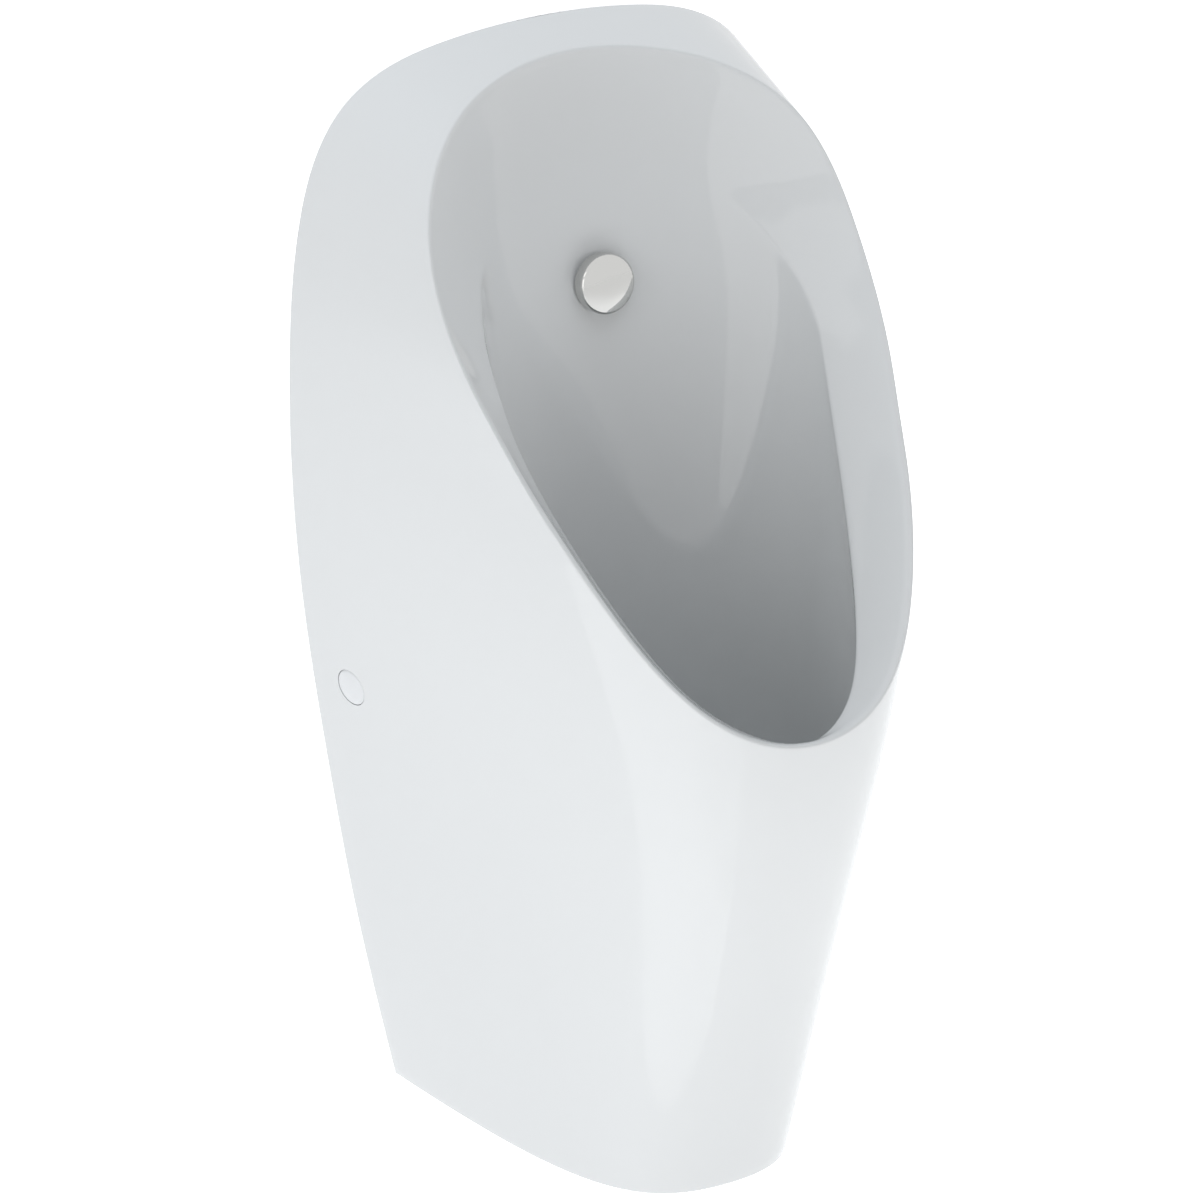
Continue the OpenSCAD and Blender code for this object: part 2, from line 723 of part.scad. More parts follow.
module inlet_connector() {
    high = -stem_in - washer_t;
    low = -connector_corner - connector_over;
    color("goldenrod") difference() {
        union() {
            at_spray() {
                translate([0, 0, high - collar_t]) cylinder(h = collar_t, d = washer_d, $fn = arc);
                translate([0, 0, nut_low - overrun])
                    cylinder(h = high - nut_low + overrun, d = inlet_d, $fn = arc);
                translate([0, 0, low])
                    cylinder(h = nut_low - connector_gap - low, d = connector_w / cos(30), $fn = 6);
            }
            at_inlet() cylinder(h = socket_depth, d = inlet_d + 2 * socket_wall, $fn = arc);
        }
        at_spray() translate([0, 0, -connector_corner - connector_gap])
            cylinder(h = connector_corner + high + overrun, d = inlet_bore_d, $fn = arc);
        at_inlet() translate([0, 0, socket_stop])
            cylinder(h = socket_depth, d = inlet_d + 2 * running_gap, $fn = arc);
    }
}

module inlet_pipe() {
    color("peru") at_inlet() ring(inlet_d, inlet_bore_d, socket_stop + fit_gap, corner_y + inlet_in);
}

module inlet_olive() {
    low = socket_depth + running_gap;
    color("goldenrod") at_inlet()
        ring(inlet_d + 2 * socket_wall, inlet_d + 2 * running_gap, low, socket_depth + olive_t);
}

module inlet_compression_nut() {
    back = socket_depth + olive_t + running_gap;
    color("goldenrod") at_inlet() difference() {
        translate([0, 0, back + plastic_t - compression_len])
            cylinder(h = compression_len, d = connector_w / cos(30), $fn = 6);
        translate([0, 0, -overrun])
            cylinder(h = back + overrun, d = inlet_d + 2 * (socket_wall + running_gap), $fn = arc);
        cylinder(h = back + plastic_t + overrun, d = inlet_d + 2 * running_gap, $fn = arc);
    }
}

module wall_sleeve(pipe_d, thick) {
    inner = pipe_d / 2 + running_gap;
    outer = pipe_d / 2 + thick;
    rotate([-90, 0, 0]) spin_profile([
        [inner, -sleeve_reach], [outer, -sleeve_reach], [outer, -sleeve_flange_t],
        [outer + thick, -sleeve_flange_t], [outer + thick, 0], [outer, 0],
        [outer, sleeve_in], [inner, sleeve_in]
    ]);
}

module inlet_wall_sleeve() {
    color("dimgray") translate([0, 0, inlet_z]) wall_sleeve(inlet_d, inlet_sleeve_t);
}

// Outlet, trap and drain
module outlet_fitting() {
    r = outlet_tube_d / 2;
    flange_r = outlet_flange_d / 2;
    seat_r = strainer_d / 2 + fit_gap;
    seat_z = flange_seat_z + seat_rise;
    color("whitesmoke") at_outlet() spin_profile([
        [r - plastic_t, tube_low_z], [r, tube_low_z], [r, flange_seat_z], [flange_r, flange_seat_z],
        [flange_r, flange_top_z - flange_bevel], [flange_r - flange_bevel, flange_top_z],
        [seat_r, flange_top_z], [seat_r, seat_z], [r - plastic_t, seat_z]
    ]);
}

module outlet_gasket() {
    low = under_seat_z - outlet_seal_t;
    color("dimgray") at_outlet()
        ring(clamp_nut_d - 2 * clamp_inset, outlet_tube_d + 2 * fit_gap, low, under_seat_z);
}

module outlet_clamp_nut() {
    grips = 12;
    color("whitesmoke") at_outlet() difference() {
        ring(clamp_nut_d, outlet_tube_d + 2 * running_gap, nut_z, nut_z + clamp_nut_t);
        for (k = [0 : grips - 1]) rotate([0, 0, 360 * k / grips])
            translate([clamp_nut_d / 2 + grip_out, 0, nut_z - overrun])
                cylinder(h = clamp_nut_t + 2 * overrun, r = grip_r, $fn = 32);
    }
}

module trap_insert() {
    r = insert_d / 2;
    low = tube_low_z + insert_taper_low;
    high = tube_low_z + insert_taper_high;
    color("whitesmoke") at_outlet() spin_profile([
        [r - plastic_t, insert_low_z], [r, insert_low_z], [r, low], [insert_wide_r, high],
        [insert_wide_r, insert_top_z], [insert_wide_r - plastic_t, insert_top_z],
        [insert_wide_r - plastic_t, high + plastic_t], [r - plastic_t, low + plastic_t]
    ]);
}

module trap_insert_seal() {
    low = tube_low_z + insert_seal_low;
    color("dimgray") at_outlet()
        ring(outlet_bore_d - 2 * fit_gap, 2 * (insert_wide_r + running_gap), low, low + insert_seal_t);
}

module outlet_strainer() {
    r = strainer_d / 2;
    low = flange_top_z - strainer_t;
    rows = 3;
    crown_share = 0.6;
    color("silver") at_outlet() difference() {
        union() {
            spin_profile([
                [0, low], [r, low], [r, flange_top_z - strainer_edge],
                [crown_share * r, flange_top_z + strainer_rise], [0, flange_top_z + strainer_t]
            ]);
            ring(outlet_bore_d - 2 * insert_gap, outlet_bore_d - 4 * insert_gap, low - strainer_ring_depth,
                flange_top_z - strainer_edge);
        }
        for (q = [1 : rows], k = [0 : 6 * q - 1]) rotate([0, 0, 360 * k / (6 * q)])
            translate([r * q / (rows + 1), 0, low - overrun])
                cylinder(h = 3 * overrun, r = strainer_hole_r, $fn = 32);
    }
}

module trap_cup() {
    r = cup_d / 2;
    inside_r = r - plastic_t;
    inside_z = cup_high_z - plastic_t;
    color("whitesmoke") difference() {
        union() {
            at_outlet() spin_profile([
                [0, cup_z], [r - cup_round, cup_z], [r, cup_z + cup_round], [r, cup_high_z - cup_shoulder],
                [r - cup_shoulder, cup_high_z], [0, cup_high_z]
            ]);
            on_drain(outlet_y) cylinder(h = outlet_y - coupling_y, d = drain_d, $fn = arc);
        }
        at_outlet() {
            spin_profile([
                [0, cup_z + plastic_t], [r - cup_round, cup_z + plastic_t], [inside_r, cup_z + cup_round],
                [inside_r, inside_z - cup_shoulder], [r - cup_shoulder, inside_z], [0, inside_z]
            ]);
            translate([0, 0, cup_high_z - overrun])
                cylinder(h = 2 * overrun, d = outlet_tube_d + 2 * running_gap, $fn = arc);
        }
        on_drain(outlet_y)
            cylinder(h = outlet_y - coupling_y + overrun, d = drain_d - 2 * plastic_t, $fn = arc);
    }
}

module trap_cup_seal() {
    high = cup_high_z - plastic_t - fit_gap;
    color("dimgray") at_outlet()
        ring(outlet_tube_d + 2 * cup_seal_t, outlet_tube_d + 2 * fit_gap, high - cup_seal_t + fit_gap, high);
}

// Places along the drain's axis, with local z towards the wall
module on_drain(y) {
    translate([0, -y, drain_z]) rotate([-90, 0, 0]) children();
}

module drain_coupling() {
    r = drain_d / 2 + running_gap;
    groove_r = r + coupling_seal_t;
    outer = groove_r + plastic_t;
    waist_r = outer - coupling_seal_t;
    end = coupling_len / 2;
    groove = end - coupling_end;
    collar = end - coupling_seal_w - coupling_step;
    color("whitesmoke") on_drain(coupling_y) spin_profile([
        [r, -end], [outer, -end], [outer, -collar], [waist_r, coupling_slope - collar],
        [waist_r, collar - coupling_slope], [outer, collar], [outer, end], [r, end],
        [r, groove], [groove_r, groove], [groove_r, groove - coupling_seal_w], [r, groove - coupling_seal_w],
        [r, coupling_seal_w - groove], [groove_r, coupling_seal_w - groove], [groove_r, -groove], [r, -groove]
    ]);
}

module drain_coupling_seals() {
    reach = (coupling_len - coupling_seal_w) / 2 - coupling_end;
    half = coupling_seal_w / 2 - running_gap;
    color("dimgray") for (side = [-1, 1]) on_drain(coupling_y + side * reach)
        ring(drain_d + 2 * coupling_seal_t, drain_d + 2 * running_gap, -half, half);
}

module drain_pipe() {
    color("whitesmoke") on_drain(coupling_y - running_gap)
        ring(drain_d, drain_d - 2 * plastic_t, 0, coupling_y + drain_in);
}

module drain_wall_sleeve() {
    color("dimgray") translate([0, 0, drain_z]) wall_sleeve(drain_d, drain_sleeve_t);
}

// Hangers in the wall
module at_hangers() {
    for (x = [-1, 1]) translate([x * hanger_pitch / 2, 0, body_h - hanger_drop])
        rotate([90, 0, 0]) children();
}

module hanger_studs() {
    color("silver") at_hangers() translate([0, 0, -stud_in])
        cylinder(h = stud_in + stud_out, d = stud_d, $fn = arc);
}

module hanger_sleeves() {
    color("whitesmoke") at_hangers()
        ring(hanger_hole_d - 2 * fit_gap, stud_d + 2 * running_gap, 0, stud_out - stud_over);
}

module hanger_wall_plugs() {
    color("lightgray") at_hangers() difference() {
        translate([0, 0, -stud_in - plug_over]) cylinder(h = stud_in + plug_over, d = plug_d, $fn = arc);
        translate([0, 0, -stud_in]) cylinder(h = stud_in + overrun, d = stud_d + 2 * running_gap, $fn = arc);
    }
}

// Side fixings; each bracket stands on the wall inside the hollow and takes one side screw
module side_bracket(side) {
    color("lightslategray") difference() {
        union() {
            intersection() {
                at_side(side) translate([-bracket_w / 2, -bracket_w / 2, -bracket_depth - bracket_t])
                    cube([bracket_w, body_d, bracket_t]);
                on_side(side) translate([0, -body_d, 0]) cube([body_w, body_d, body_h]);
            }
            on_side(side) translate([plate_x, -bracket_t, side_z - bracket_w / 2])
                cube([bracket_w, bracket_t, bracket_w]);
        }
        at_side(side) translate([0, 0, -bracket_depth - bracket_t - overrun])
            cylinder(h = bracket_t + 2 * overrun, d = side_screw_d + 2 * running_gap, $fn = arc);
        on_side(side) translate([screw_x, overrun, side_z]) rotate([90, 0, 0])
            cylinder(h = bracket_t + 2 * overrun, d = bracket_screw_d + 2 * running_gap, $fn = arc);
    }
}

module side_bracket_left() {
    side_bracket(-1);
}

module side_bracket_right() {
    side_bracket(1);
}

module at_bracket_screws() {
    for (x = [-1, 1]) translate([x * screw_x, 0, side_z]) rotate([90, 0, 0]) children();
}

module bracket_screws() {
    head_d = bracket_head_shares[0] * bracket_screw_d;
    head_h = bracket_head_shares[1] * bracket_screw_d;
    color("silver") at_bracket_screws() difference() {
        union() {
            translate([0, 0, -bracket_screw_in])
                cylinder(h = bracket_screw_in + bracket_t, d = bracket_screw_d, $fn = arc);
            translate([0, 0, bracket_t]) cylinder(h = head_h, d = head_d, $fn = 6);
        }
        translate([0, 0, bracket_t + head_h / 2])
            cylinder(h = head_h, d = bracket_head_shares[2] * bracket_screw_d, $fn = 6);
    }
}

module bracket_wall_plugs() {
    color("lightgray") at_bracket_screws() difference() {
        translate([0, 0, -bracket_screw_in - plug_over])
            cylinder(h = bracket_screw_in + plug_over, d = bracket_plug_d, $fn = arc);
        translate([0, 0, -bracket_screw_in])
            cylinder(h = bracket_screw_in + overrun, d = bracket_screw_d + 2 * running_gap, $fn = arc);
    }
}

module side_bush(side) {
    r = side_screw_d / 2 + running_gap;
    flange_r = r + bush_t + bush_flange_over;
    flange_z = bush_flange_t - pocket_depth;
    color("whitesmoke") at_side(side) spin_profile([
        [r, -bracket_depth], [r + bush_t, -bracket_depth], [r + bush_t, -pocket_depth],
        [flange_r, -pocket_depth], [flange_r, flange_z], [r, flange_z]
    ]);
}

module side_bush_left() {
    side_bush(-1);
}

module side_bush_right() {
    side_bush(1);
}

module side_screw(side) {
    head_z = bush_flange_t - pocket_depth;
    head_d = side_head_shares[0] * side_screw_d;
    head_h = side_head_shares[1] * side_screw_d;
    reach = bracket_depth + 2 * bracket_t;
    color("silver") at_side(side) difference() {
        union() {
            translate([0, 0, -reach]) cylinder(h = reach + head_z, d = side_screw_d, $fn = arc);
            translate([0, 0, head_z]) cylinder(h = head_h, d = head_d, $fn = arc);
        }
        translate([0, 0, head_z + head_h / 3])
            cylinder(h = head_h, d = side_head_shares[2] * side_screw_d, $fn = 6);
    }
}

module side_screw_left() {
    side_screw(-1);
}

module side_screw_right() {
    side_screw(1);
}

module side_cover(side) {
    r = cover_d / 2;
    skirt_r = r - pocket_inset - 2 * running_gap;
    inside_r = skirt_r - cover_skirt_t;
    foot = bush_flange_t + cover_foot_gap - pocket_depth;
    back = running_gap - cover_sink;
    crown_share = 0.6;
    color("white") at_side(side) spin_profile([
        [inside_r, foot], [skirt_r, foot], [skirt_r, back], [r, back], [r, back + cover_edge],
        [r - cover_bevel, back + cover_edge + cover_bevel], [crown_share * r, back + cover_t],
        [0, back + cover_t + cover_dome], [0, back + cover_shell_t], [inside_r, back + cover_shell_t]
    ]);
}

module side_cover_left() {
    side_cover(-1);
}

module side_cover_right() {
    side_cover(1);
}

ceramic_body();
spray_cap();
spray_nozzle();
spray_front_gasket();
spray_rear_gasket();
spray_lock_nut();
inlet_washer();
inlet_union_nut();
inlet_connector();
inlet_olive();
inlet_compression_nut();
inlet_pipe();
inlet_wall_sleeve();
outlet_strainer();
trap_insert();
trap_insert_seal();
outlet_fitting();
outlet_gasket();
outlet_clamp_nut();
trap_cup();
trap_cup_seal();
drain_coupling();
drain_coupling_seals();
drain_pipe();
drain_wall_sleeve();
hanger_studs();
hanger_sleeves();
hanger_wall_plugs();
side_bracket_left();
side_bracket_right();
bracket_screws();
bracket_wall_plugs();
side_bush_left();
side_bush_right();
side_screw_left();
side_screw_right();
side_cover_left();
side_cover_right();
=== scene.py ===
# Wall-hung urinal in glazed vitreous china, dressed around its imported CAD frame.
import json
import math
import bmesh
import bpy
from mathutils import Matrix, Vector


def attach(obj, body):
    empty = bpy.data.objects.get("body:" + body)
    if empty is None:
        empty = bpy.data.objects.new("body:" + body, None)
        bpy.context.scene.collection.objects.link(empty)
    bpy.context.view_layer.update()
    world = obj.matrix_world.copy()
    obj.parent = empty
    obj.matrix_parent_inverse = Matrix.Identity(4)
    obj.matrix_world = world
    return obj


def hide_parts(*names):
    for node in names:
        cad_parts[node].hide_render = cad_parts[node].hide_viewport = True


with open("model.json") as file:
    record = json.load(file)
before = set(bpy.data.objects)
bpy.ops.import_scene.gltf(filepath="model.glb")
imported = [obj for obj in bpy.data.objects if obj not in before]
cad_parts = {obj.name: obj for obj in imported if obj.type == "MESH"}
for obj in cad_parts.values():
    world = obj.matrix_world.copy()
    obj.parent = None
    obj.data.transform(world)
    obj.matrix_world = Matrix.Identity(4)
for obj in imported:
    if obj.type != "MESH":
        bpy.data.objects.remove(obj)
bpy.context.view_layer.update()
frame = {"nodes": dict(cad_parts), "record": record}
nodes = frame["nodes"]
mm = 0.001
weld = 0.002 * mm
smoothAngle = 35
print("frame loaded:", len(nodes), "nodes")


# Small helpers for colours, shader nodes and pieces

def toLinear(hexColour):
    channels = [int(hexColour[i:i + 2], 16) / 255 for i in (1, 3, 5)]
    return [c / 12.92 if c <= 0.04045 else ((c + 0.055) / 1.055) ** 2.4 for c in channels] + [1.0]


def addNode(tree, kind, settings=None, links=None):
    node = tree.nodes.new(kind)
    for name, value in (settings or {}).items():
        if name in node.inputs:
            node.inputs[name].default_value = value
        else:
            setattr(node, name, value)
    for name, source in (links or {}).items():
        tree.links.new(source, node.inputs[name])
    return node


def newMaterial(name, shader):
    material = bpy.data.materials.new(name)
    material.use_nodes = True
    tree = material.node_tree
    tree.nodes.clear()
    principled = addNode(tree, "ShaderNodeBsdfPrincipled", shader)
    addNode(tree, "ShaderNodeOutputMaterial", links={"Surface": principled.outputs[0]})
    return material, tree, principled


def newPiece(name, bm, material, sharpAngle=smoothAngle):
    mesh = bpy.data.meshes.new(name)
    bm.to_mesh(mesh)
    bm.free()
    piece = bpy.data.objects.new(name, mesh)
    bpy.context.scene.collection.objects.link(piece)
    mesh.materials.append(material)
    mesh.shade_smooth()
    mesh.set_sharp_from_angle(angle=math.radians(sharpAngle))
    return piece


# Camera, at the photograph's distance and angle
view = {
    "azimuth": 30.747, "elevation": 24.527,   # degrees left of and above the front
    "distance": 4.116,
    "target": (0, -0.150, 0.325),
    "frameWidth": 1200 / 1.761 * mm,          # what the frame shows at the target, 1.761 pixels to the mm
    "offset": (-40.26 * mm, 18.29 * mm),      # from the target to the middle of the frame
}


def makeCamera():
    turn, rise = math.radians(view["azimuth"]), math.radians(view["elevation"])
    toEye = Vector((-math.sin(turn) * math.cos(rise), -math.cos(turn) * math.cos(rise), math.sin(rise)))
    right = Vector((math.cos(turn), -math.sin(turn), 0))
    target = Vector(view["target"])
    aim = target + right * view["offset"][0] + toEye.cross(right) * view["offset"][1]
    eye = target + toEye * view["distance"]
    lens = bpy.data.cameras.new("camera")
    lens.sensor_fit = "HORIZONTAL"
    lens.lens = lens.sensor_width * view["distance"] / view["frameWidth"]
    camera = bpy.data.objects.new("camera", lens)
    bpy.context.scene.collection.objects.link(camera)
    camera.matrix_world = (eye - aim).to_track_quat("Z", "Y").to_matrix().to_4x4()
    camera.location = eye
    bpy.context.scene.camera = camera


makeCamera()
bpy.context.scene.view_settings.view_transform = "Standard"
print("camera set")


# Finishes

grainDetail = 3.0
bumpStrength = 0.5


def addGrain(tree, principled, size, roughness, height, colours=None):
    # Soft mottling, size and height in mm: moves the roughness and the colour between two values
    place = addNode(tree, "ShaderNodeTexCoord").outputs["Object"]
    noise = {"Scale": 1 / (size * mm), "Detail": grainDetail}
    grain = addNode(tree, "ShaderNodeTexNoise", noise, {"Vector": place}).outputs["Fac"]
    limits = {"To Min": roughness[0], "To Max": roughness[1]}
    spread = addNode(tree, "ShaderNodeMapRange", limits, {"Value": grain})
    tree.links.new(spread.outputs["Result"], principled.inputs["Roughness"])
    relief = {"Strength": bumpStrength, "Distance": height * mm}
    bump = addNode(tree, "ShaderNodeBump", relief, {"Height": grain})
    tree.links.new(bump.outputs["Normal"], principled.inputs["Normal"])
    if colours:
        ramp = addNode(tree, "ShaderNodeValToRGB", links={"Fac": grain})
        for stop, colour in zip(ramp.color_ramp.elements, colours):
            stop.color = toLinear(colour)
        tree.links.new(ramp.outputs["Color"], principled.inputs["Base Color"])


def glazedChina():
    # White glaze fired over vitreous china: a hard, deep gloss with the faintest orange peel
    glaze = {"Base Color": toLinear("#D6D8D9"), "IOR": 1.52}
    material, tree, principled = newMaterial("glazedChina", glaze)
    addGrain(tree, principled, 45, (0.015, 0.03), 0.006)
    return material


def polishedChrome():
    # Bright chrome over polished brass: a clear, neutral mirror with hardly any haze
    chrome = {"Base Color": toLinear("#CECECC"), "Metallic": 1.0}
    material, tree, principled = newMaterial("polishedChrome", chrome)
    addGrain(tree, principled, 9, (0.04, 0.08), 0.002)
    return material


def turnedBrass():
    # Turned brass: warm yellow metal, softly bright, a little clouded by handling
    material, tree, principled = newMaterial("turnedBrass", {"Metallic": 1.0})
    addGrain(tree, principled, 5, (0.2, 0.36), 0.02, ("#B8924F", "#D2B071"))
    return material


def drawnCopper():
    # Drawn copper tube: salmon red, with the brown clouds that air and hands leave
    material, tree, principled = newMaterial("drawnCopper", {"Metallic": 1.0})
    addGrain(tree, principled, 14, (0.22, 0.42), 0.01, ("#A9694C", "#D39A7B"))
    return material


def mouldedRubber():
    # Moulded EPDM rubber: near black, with a dull sheen and a fine dry grain
    material, tree, principled = newMaterial("mouldedRubber", {"IOR": 1.5})
    addGrain(tree, principled, 1.5, (0.55, 0.72), 0.03, ("#191A1B", "#242526"))
    return material


def brushedStainless():
    # Pressed stainless sheet with a satin brushing: neutral grey and half bright
    steel = {"Base Color": toLinear("#B9BABB"), "Metallic": 1.0}
    material, tree, principled = newMaterial("brushedStainless", steel)
    addGrain(tree, principled, 3, (0.24, 0.34), 0.01)
    return material


def zincPlate():
    # Zinc plated steel: bluish silver, cloudy where the plating's crystals meet
    material, tree, principled = newMaterial("zincPlate", {"Metallic": 1.0})
    addGrain(tree, principled, 6, (0.3, 0.46), 0.01, ("#A3A8AF", "#C4C8CC"))
    return material


def mouldedPolypropylene():
    # Injection moulded polypropylene: clean white with a waxy half gloss
    plastic = {"Base Color": toLinear("#DADCDE"), "IOR": 1.49}
    material, tree, principled = newMaterial("mouldedPolypropylene", plastic)
    addGrain(tree, principled, 2.5, (0.26, 0.34), 0.01)
    return material


def mouldedNylon():
    # Moulded nylon: plain mid grey, matt from the mould's spark-eroded face
    material, tree, principled = newMaterial("mouldedNylon", {"IOR": 1.53})
    addGrain(tree, principled, 1.2, (0.48, 0.6), 0.03, ("#8A8D90", "#97999C"))
    return material


finishes = {
    "glazed_ceramic": glazedChina(), "polished_chrome": polishedChrome(), "brass": turnedBrass(),
    "copper": drawnCopper(), "black_rubber": mouldedRubber(), "stainless_steel": brushedStainless(),
    "zinc_plated_steel": zincPlate(), "white_plastic": mouldedPolypropylene(), "grey_nylon": mouldedNylon(),
}
for part in frame["record"]["subparts"]:
    mesh = nodes[part["node"]].data
    mesh.materials.clear()
    mesh.materials.append(finishes[part["material_slot"]])
print("finishes made:", len(finishes))


# The glazed ceramic: sizes in millimetres, shares follow the sizes that they scale
ceramic = {
    "height": 650, "width": 327, "depth": 320, "broadZ": 443, "wall": 11,
    "openingZ": 490, "openingWidth": 257, "openingDrop": 10.5, "lipZ": 320.5, "rim": 4.5, "rakeDrop": 9,
    "creaseTopZ": 581, "creaseRound": 4.5, "creaseFade": 5, "bandDip": 1.5, "shortBand": 40,
    "floorZ": 150, "floorRound": 120, "bowlWidth": 208, "bowlBack": 71, "bowlTopDrop": 50,
    "outletY": 165.02, "bridgeDrop": 68, "bridgeThick": 12, "bridgeGap": 1,
    "hangerPitch": 140, "hangerDrop": 46, "hangerHole": 18,
    "sprayZ": 512, "sprayTilt": 8.5, "sideZ": 277, "sideShare": 0.054,
    "halfWidthShares": [0.616, 0.77, 0.878, 0.979, 1.0105],
    "archShares": [1.015, 1.087, 1.19, 1.04],
    "depthShares": [0.677, 0.81, 0.968, 1.016], "depthTopShares": [1.13, 1.14],
    "sideReachShares": [0.843, 0.757, 0.695, 0.64], "sideReachTopShares": [0.63, 0.476],
    "sideLeanShares": [0.109, 0.215, 0.256, 0.152], "sideLeanTopShares": [0.173, 0.35],
    "noseShares": [0.582, 0.554, 0.594, 0.64], "noseTopShares": [0.76, 0.436],
    "openingShares": [0.992, 0.93, 0.937, 0.995, 1.108, 1.214, 1.043],
    "creaseShares": [-0.029, 0.009, 0.097, 0.375, 0.65, 0.79, 0.925, 0.982, 1.007],
    "bowlWidthShares": [0.72, 0.745, 0.775, 0.872, 0.97, 1.022, 0.933],
    "bowlBackShares": [1.38, 1.54, 1.42, 1.32, 1.12, 1.055, 0.36],
    "bowlMiddleShares": [0.516, 0.522, 0.518, 0.498, 0.466, 0.41, 0.287],
    "hollowShares": [0.5, 0.72, 0.84, 0.87, 0.82, 0.66, 0.3],
    "rake": 0.35, "rakeCurve": 1.75, "floorPower": 2.6, "cornerShare": 0.2,
    "hollowDrop": 24, "hollowFrontDrop": 112, "edgeRound": 1.4,
    # Degrees by which the bowl's columns run ahead of the opening's at its lower sides
    "columnLead": 18,
    # Guides of a column: how many before the rim and down the side, their step near the rim as a share of
    # its roll, and their places on the band and down to the floor as shares of those lengths
    "rimGuides": 6, "rimStepShare": 0.7, "bandShares": (0.25, 0.5, 0.35), "sideGuides": 7,
    "floorShares": (0.2, 0.4, 0.57, 0.7, 0.8, 0.88, 0.94, 0.98),
    # Rows and columns of the mesh, and the powers by which the rows crowd towards the rim and the floor
    "columns": 120, "edgeRows": 4, "skinRows": 46, "rowsPerGuide": 6, "underRows": 24, "innerRows": 16,
    "archSteps": 28, "skinCrowding": 1.3, "underCrowding": 1.7,
}


def control(table, i, isOpen):
    if i < 0:
        return 2 * table[0] - table[1] if isOpen else table[1]
    return table[i] if i < len(table) else table[2 * len(table) - 2 - i]


def spline(table, t, isOpen=False):
    x = t * (len(table) - 1)
    k = max(0, min(math.floor(x), len(table) - 2))
    f = x - k
    return (control(table, k - 1, isOpen) * (1 - f) ** 3
            + control(table, k, isOpen) * (3 * f ** 3 - 6 * f * f + 4)
            + control(table, k + 1, isOpen) * (3 * f * (1 + f - f * f) + 1)
            + control(table, k + 2, isOpen) * f ** 3) / 6


def unitEnds(table):
    return [(6 - 2 * table[0]) / 4] + table + [(6 - 2 * table[-1]) / 4]


def along(low, top, s):
    if s <= 1:
        return spline(low, s, True)
    return spline([(6 * spline(low, 1, True) - 2 * top[0]) / 4] + top, s - 1)


def between(a, b, f):
    return a + (b - a) * f


def cosDeg(angle):
    return math.cos(math.radians(angle))


def sinDeg(angle):
    return math.sin(math.radians(angle))


def outline(s):
    c = ceramic
    if s <= 1:
        return c["width"] / 2 * spline(c["halfWidthShares"], s, True)
    turn = 90 * (s - 1)
    reach = math.hypot(cosDeg(turn) / (c["width"] / 2), sinDeg(turn) / (c["height"] - c["broadZ"]))
    return spline(unitEnds(c["archShares"]), s - 1) / reach


def depthAt(s):
    return ceramic["depth"] * along(ceramic["depthShares"], ceramic["depthTopShares"], s)


def rib(s, v, inset=0):
    c = ceramic
    b = outline(s) - inset
    d = depthAt(s) - inset
    reach = along(c["sideReachShares"], c["sideReachTopShares"], s) * d
    lean = along(c["sideLeanShares"], c["sideLeanTopShares"], s) * reach
    nose = along(c["noseShares"], c["noseTopShares"], s) * b
    u = 1 - v
    return (b * u ** 3 + 3 * (b - lean) * v * u * u + 3 * nose * v * v * u,
            3 * reach * v * u * u + 3 * d * v * v * u + d * v ** 3)


def placeOnRib(s, x, y):
    broadZ = ceramic["broadZ"]
    if s <= 1:
        return Vector((x, -y, s * broadZ))
    return Vector((x * cosDeg(90 * (s - 1)), -y, broadZ + x * sinDeg(90 * (s - 1))))


def skin(s, v, inset=0):
    return placeOnRib(s, *rib(s, v, inset))


def opening(angle):
    c = ceramic
    tall = c["openingZ"] - c["lipZ"] if angle < 90 else c["height"] - c["openingDrop"] - c["openingZ"]
    reach = (spline(unitEnds(c["openingShares"]), angle / 180)
             / math.hypot(sinDeg(angle) / (c["openingWidth"] / 2), cosDeg(angle) / tall))
    return reach * sinDeg(angle), c["openingZ"] - reach * cosDeg(angle)


def rimPlace(angle):
    # Where the opening's outline meets the skin, as shares up the body and along its rib
    x, z = opening(angle)
    above = z - ceramic["broadZ"]
    s = 1 + math.degrees(math.atan2(above, x)) / 90 if above > 0 else z / ceramic["broadZ"]
    half = math.hypot(x, above) if above > 0 else x
    low, high = 0.0, 1.0
    for halving in range(40):
        mid = (low + high) / 2
        if rib(s, mid)[0] > half:
            low = mid
        else:
            high = mid
    return Vector((s, 1 if angle == 0 else (low + high) / 2))


def edgePlace(angle):
    turn, corner = angle / 180, ceramic["cornerShare"]
    return Vector((0, 1 - turn / corner) if turn < corner else (2 * (turn - corner) / (1 - corner), 0))


def bowlStep(z):
    c = ceramic
    return max(0, min(1, (z - c["floorZ"]) / (c["height"] - c["bowlTopDrop"] - c["floorZ"])))


def bowlBackY(z):
    return ceramic["bowlBack"] * spline(ceramic["bowlBackShares"], bowlStep(z), True)


